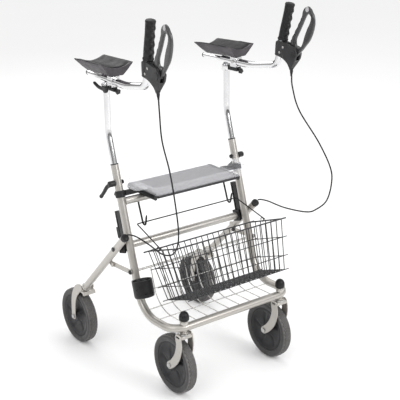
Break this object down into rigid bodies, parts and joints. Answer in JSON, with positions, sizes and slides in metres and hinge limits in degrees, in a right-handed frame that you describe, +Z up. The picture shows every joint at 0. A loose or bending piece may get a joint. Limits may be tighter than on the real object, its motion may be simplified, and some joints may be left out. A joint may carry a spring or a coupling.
{
  "type": "rollator walker",
  "caption": "Folding four-wheel rollator with forearm gutters, looped brake levers, a seat with a clear tray, a wire basket and a stick cup.",
  "frame": {"origin": "on the floor, under the middle of the walker's bounding box", "axes": "+Z up, +X to the user's left, -Y is the way it rolls"},
  "size_m": [0.6048, 0.8092, 1.2151],
  "materials": {
    "frame_paint": "champagne-silver metallic paint, satin",
    "steel_wire": "bright drawn wire",
    "black_plastic": "moulded, fine grain",
    "clear_plastic": "clear, polished",
    "black_wire": "black plastic-coated wire",
    "cable_sheath": "smooth black sheath",
    "tyre": "grey solid tyre with a diamond tread",
    "hub_plastic": "dark grey moulded disc",
    "bolt_steel": "zinc-plated",
    "chrome": "polished",
    "grip_rubber": "black, finger waves",
    "pad_foam": "dark grey self-skinned foam",
    "housing_plastic": "dark grey glass-filled plastic"
  },
  "bodies": {
    "frame": {"front_frame": "frame_paint", "wire_rack": "steel_wire", "seat_board": "black_plastic", "cane_cup": "black_plastic", "collar_R": "black_plastic", "guide_rail_R": "black_plastic", "basket_hook_R": "black_wire", "caster_cap_R": "black_plastic", "brake_cable_R": "cable_sheath", "collar_L": "black_plastic", "guide_rail_L": "black_plastic", "basket_hook_L": "black_wire", "caster_cap_L": "black_plastic", "brake_cable_L": "cable_sheath"},
    "tray": {"tray": "clear_plastic"},
    "basket": {"basket": "black_wire", "basket_bail": "black_wire"},
    "carriage": {"lower_cross_tube": "frame_paint", "carriage_block_R": "black_plastic", "carriage_block_L": "black_plastic"},
    "leg_R": {"rear_leg_R": "frame_paint", "leg_cap_R": "black_plastic", "rear_axle_R": "bolt_steel"},
    "rear_wheel_R": {"rear_tyre_R": "tyre", "rear_hub_R": "hub_plastic"},
    "shoe_R": {"brake_shoe_R": "black_plastic"},
    "link_R": {"fold_link_R": "frame_paint"},
    "caster_R": {"caster_fork_R": "frame_paint", "caster_axle_R": "bolt_steel"},
    "caster_wheel_R": {"caster_tyre_R": "tyre", "caster_hub_R": "hub_plastic"},
    "height_lever_R": {"height_lever_R": "black_plastic"},
    "post_R": {"post_R": "chrome", "pad_bracket_R": "black_plastic", "arm_pad_R": "pad_foam"},
    "pad_lever_R": {"pad_lever_R": "black_plastic"},
    "handle_R": {"handle_tube_R": "chrome", "grip_R": "grip_rubber", "brake_housing_R": "housing_plastic"},
    "brake_lever_R": {"brake_lever_R": "housing_plastic"},
    "leg_L": {"rear_leg_L": "frame_paint", "leg_cap_L": "black_plastic", "rear_axle_L": "bolt_steel"},
    "rear_wheel_L": {"rear_tyre_L": "tyre", "rear_hub_L": "hub_plastic"},
    "shoe_L": {"brake_shoe_L": "black_plastic"},
    "link_L": {"fold_link_L": "frame_paint"},
    "caster_L": {"caster_fork_L": "frame_paint", "caster_axle_L": "bolt_steel"},
    "caster_wheel_L": {"caster_tyre_L": "tyre", "caster_hub_L": "hub_plastic"},
    "height_lever_L": {"height_lever_L": "black_plastic"},
    "post_L": {"post_L": "chrome", "pad_bracket_L": "black_plastic", "arm_pad_L": "pad_foam"},
    "pad_lever_L": {"pad_lever_L": "black_plastic"},
    "handle_L": {"handle_tube_L": "chrome", "grip_L": "grip_rubber", "brake_housing_L": "housing_plastic"},
    "brake_lever_L": {"brake_lever_L": "housing_plastic"}
  },
  "joints": [
    {"name": "fold", "type": "slide", "parent": "frame", "child": "carriage", "axis": [0, 0.2873, 0.9578], "range_m": [0, 0.0999], "deforming": ["brake_cable_R", "brake_cable_L"]},
    {"name": "tray_lift", "type": "slide", "parent": "frame", "child": "tray", "axis": [0, 0, 1], "range_m": [0, 0.1]},
    {"name": "basket_lift", "type": "slide", "parent": "frame", "child": "basket", "axis": [0, 0, 1], "range_m": [0, 0.06]},
    {"name": "leg_R_fold", "type": "hinge", "parent": "carriage", "child": "leg_R", "pos_m": [-0.272, 0.024, 0.448], "axis": [1, 0, 0], "range_deg": [-40.1, 0]},
    {"name": "link_R_fold", "type": "hinge", "parent": "frame", "child": "link_R", "pos_m": [-0.257, -0.03421, 0.3803], "axis": [1, 0, 0], "range_deg": [0, 48.9]},
    {"name": "rear_wheel_R_roll", "type": "hinge", "parent": "leg_R", "child": "rear_wheel_R", "pos_m": [-0.265, 0.305, 0.1], "axis": [1, 0, 0], "continuous": true},
    {"name": "shoe_R_press", "type": "slide", "parent": "leg_R", "child": "shoe_R", "axis": [0, 0.2419, -0.9703], "range_m": [0, 0.0035]},
    {"name": "caster_R_swivel", "type": "hinge", "parent": "frame", "child": "caster_R", "pos_m": [-0.2004, -0.246, 0.25], "axis": [0, 0, 1], "continuous": true},
    {"name": "caster_wheel_R_roll", "type": "hinge", "parent": "caster_R", "child": "caster_wheel_R", "pos_m": [-0.2004, -0.194, 0.1], "axis": [1, 0, 0], "continuous": true},
    {"name": "post_R_height", "type": "slide", "parent": "frame", "child": "post_R", "axis": [0, 0.2873, 0.9578], "range_m": [-0.045, 0.09], "deforming": ["brake_cable_R"]},
    {"name": "handle_R_reach", "type": "slide", "parent": "post_R", "child": "handle_R", "axis": [-0.0523, -0.9986, 0], "range_m": [-0.05, 0.05], "deforming": ["brake_cable_R"]},
    {"name": "brake_lever_R_squeeze", "type": "hinge", "parent": "handle_R", "child": "brake_lever_R", "pos_m": [-0.26086, -0.22843, 1.0585], "axis": [-0.998, 0.0523, -0.0349], "range_deg": [0, 9], "stiffness_Nm_per_rad": 4, "springref_deg": -8.59},
    {"name": "height_lever_R_turn", "type": "hinge", "parent": "frame", "child": "height_lever_R", "pos_m": [-0.266, 0.05, 0.661], "axis": [1, 0, 0], "range_deg": [0, 60]},
    {"name": "pad_lever_R_turn", "type": "hinge", "parent": "post_R", "child": "pad_lever_R", "pos_m": [-0.26495, 0.06418, 0.9665], "axis": [0.9986, -0.0523, 0], "range_deg": [-60, 0]},
    {"name": "leg_L_fold", "type": "hinge", "parent": "carriage", "child": "leg_L", "pos_m": [0.272, 0.024, 0.448], "axis": [1, 0, 0], "range_deg": [-40.1, 0]},
    {"name": "link_L_fold", "type": "hinge", "parent": "frame", "child": "link_L", "pos_m": [0.257, -0.03421, 0.3803], "axis": [1, 0, 0], "range_deg": [0, 48.9]},
    {"name": "rear_wheel_L_roll", "type": "hinge", "parent": "leg_L", "child": "rear_wheel_L", "pos_m": [0.265, 0.305, 0.1], "axis": [1, 0, 0], "continuous": true},
    {"name": "shoe_L_press", "type": "slide", "parent": "leg_L", "child": "shoe_L", "axis": [0, 0.2419, -0.9703], "range_m": [0, 0.0035]},
    {"name": "caster_L_swivel", "type": "hinge", "parent": "frame", "child": "caster_L", "pos_m": [0.2004, -0.246, 0.25], "axis": [0, 0, 1], "continuous": true},
    {"name": "caster_wheel_L_roll", "type": "hinge", "parent": "caster_L", "child": "caster_wheel_L", "pos_m": [0.2004, -0.194, 0.1], "axis": [1, 0, 0], "continuous": true},
    {"name": "post_L_height", "type": "slide", "parent": "frame", "child": "post_L", "axis": [0, 0.2873, 0.9578], "range_m": [-0.045, 0.09], "deforming": ["brake_cable_L"]},
    {"name": "handle_L_reach", "type": "slide", "parent": "post_L", "child": "handle_L", "axis": [0.0523, -0.9986, 0], "range_m": [-0.05, 0.05], "deforming": ["brake_cable_L"]},
    {"name": "brake_lever_L_squeeze", "type": "hinge", "parent": "handle_L", "child": "brake_lever_L", "pos_m": [0.26086, -0.22843, 1.0585], "axis": [-0.998, -0.0523, 0.0349], "range_deg": [0, 9], "stiffness_Nm_per_rad": 4, "springref_deg": -8.59},
    {"name": "height_lever_L_turn", "type": "hinge", "parent": "frame", "child": "height_lever_L", "pos_m": [0.266, 0.05, 0.661], "axis": [1, 0, 0], "range_deg": [0, 60]},
    {"name": "pad_lever_L_turn", "type": "hinge", "parent": "post_L", "child": "pad_lever_L", "pos_m": [0.26495, 0.06418, 0.9665], "axis": [0.9986, 0.0523, 0], "range_deg": [-60, 0]}
  ],
  "couplings": [
    {"joint": "leg_R_fold", "follows": "fold", "rad_per_m": -6.988},
    {"joint": "link_R_fold", "follows": "fold", "rad_per_m": 8.523},
    {"joint": "shoe_R_press", "follows": "brake_lever_R_squeeze", "m_per_rad": 0.02228},
    {"joint": "leg_L_fold", "follows": "fold", "rad_per_m": -6.988},
    {"joint": "link_L_fold", "follows": "fold", "rad_per_m": 8.523},
    {"joint": "shoe_L_press", "follows": "brake_lever_L_squeeze", "m_per_rad": 0.02228}
  ]
}
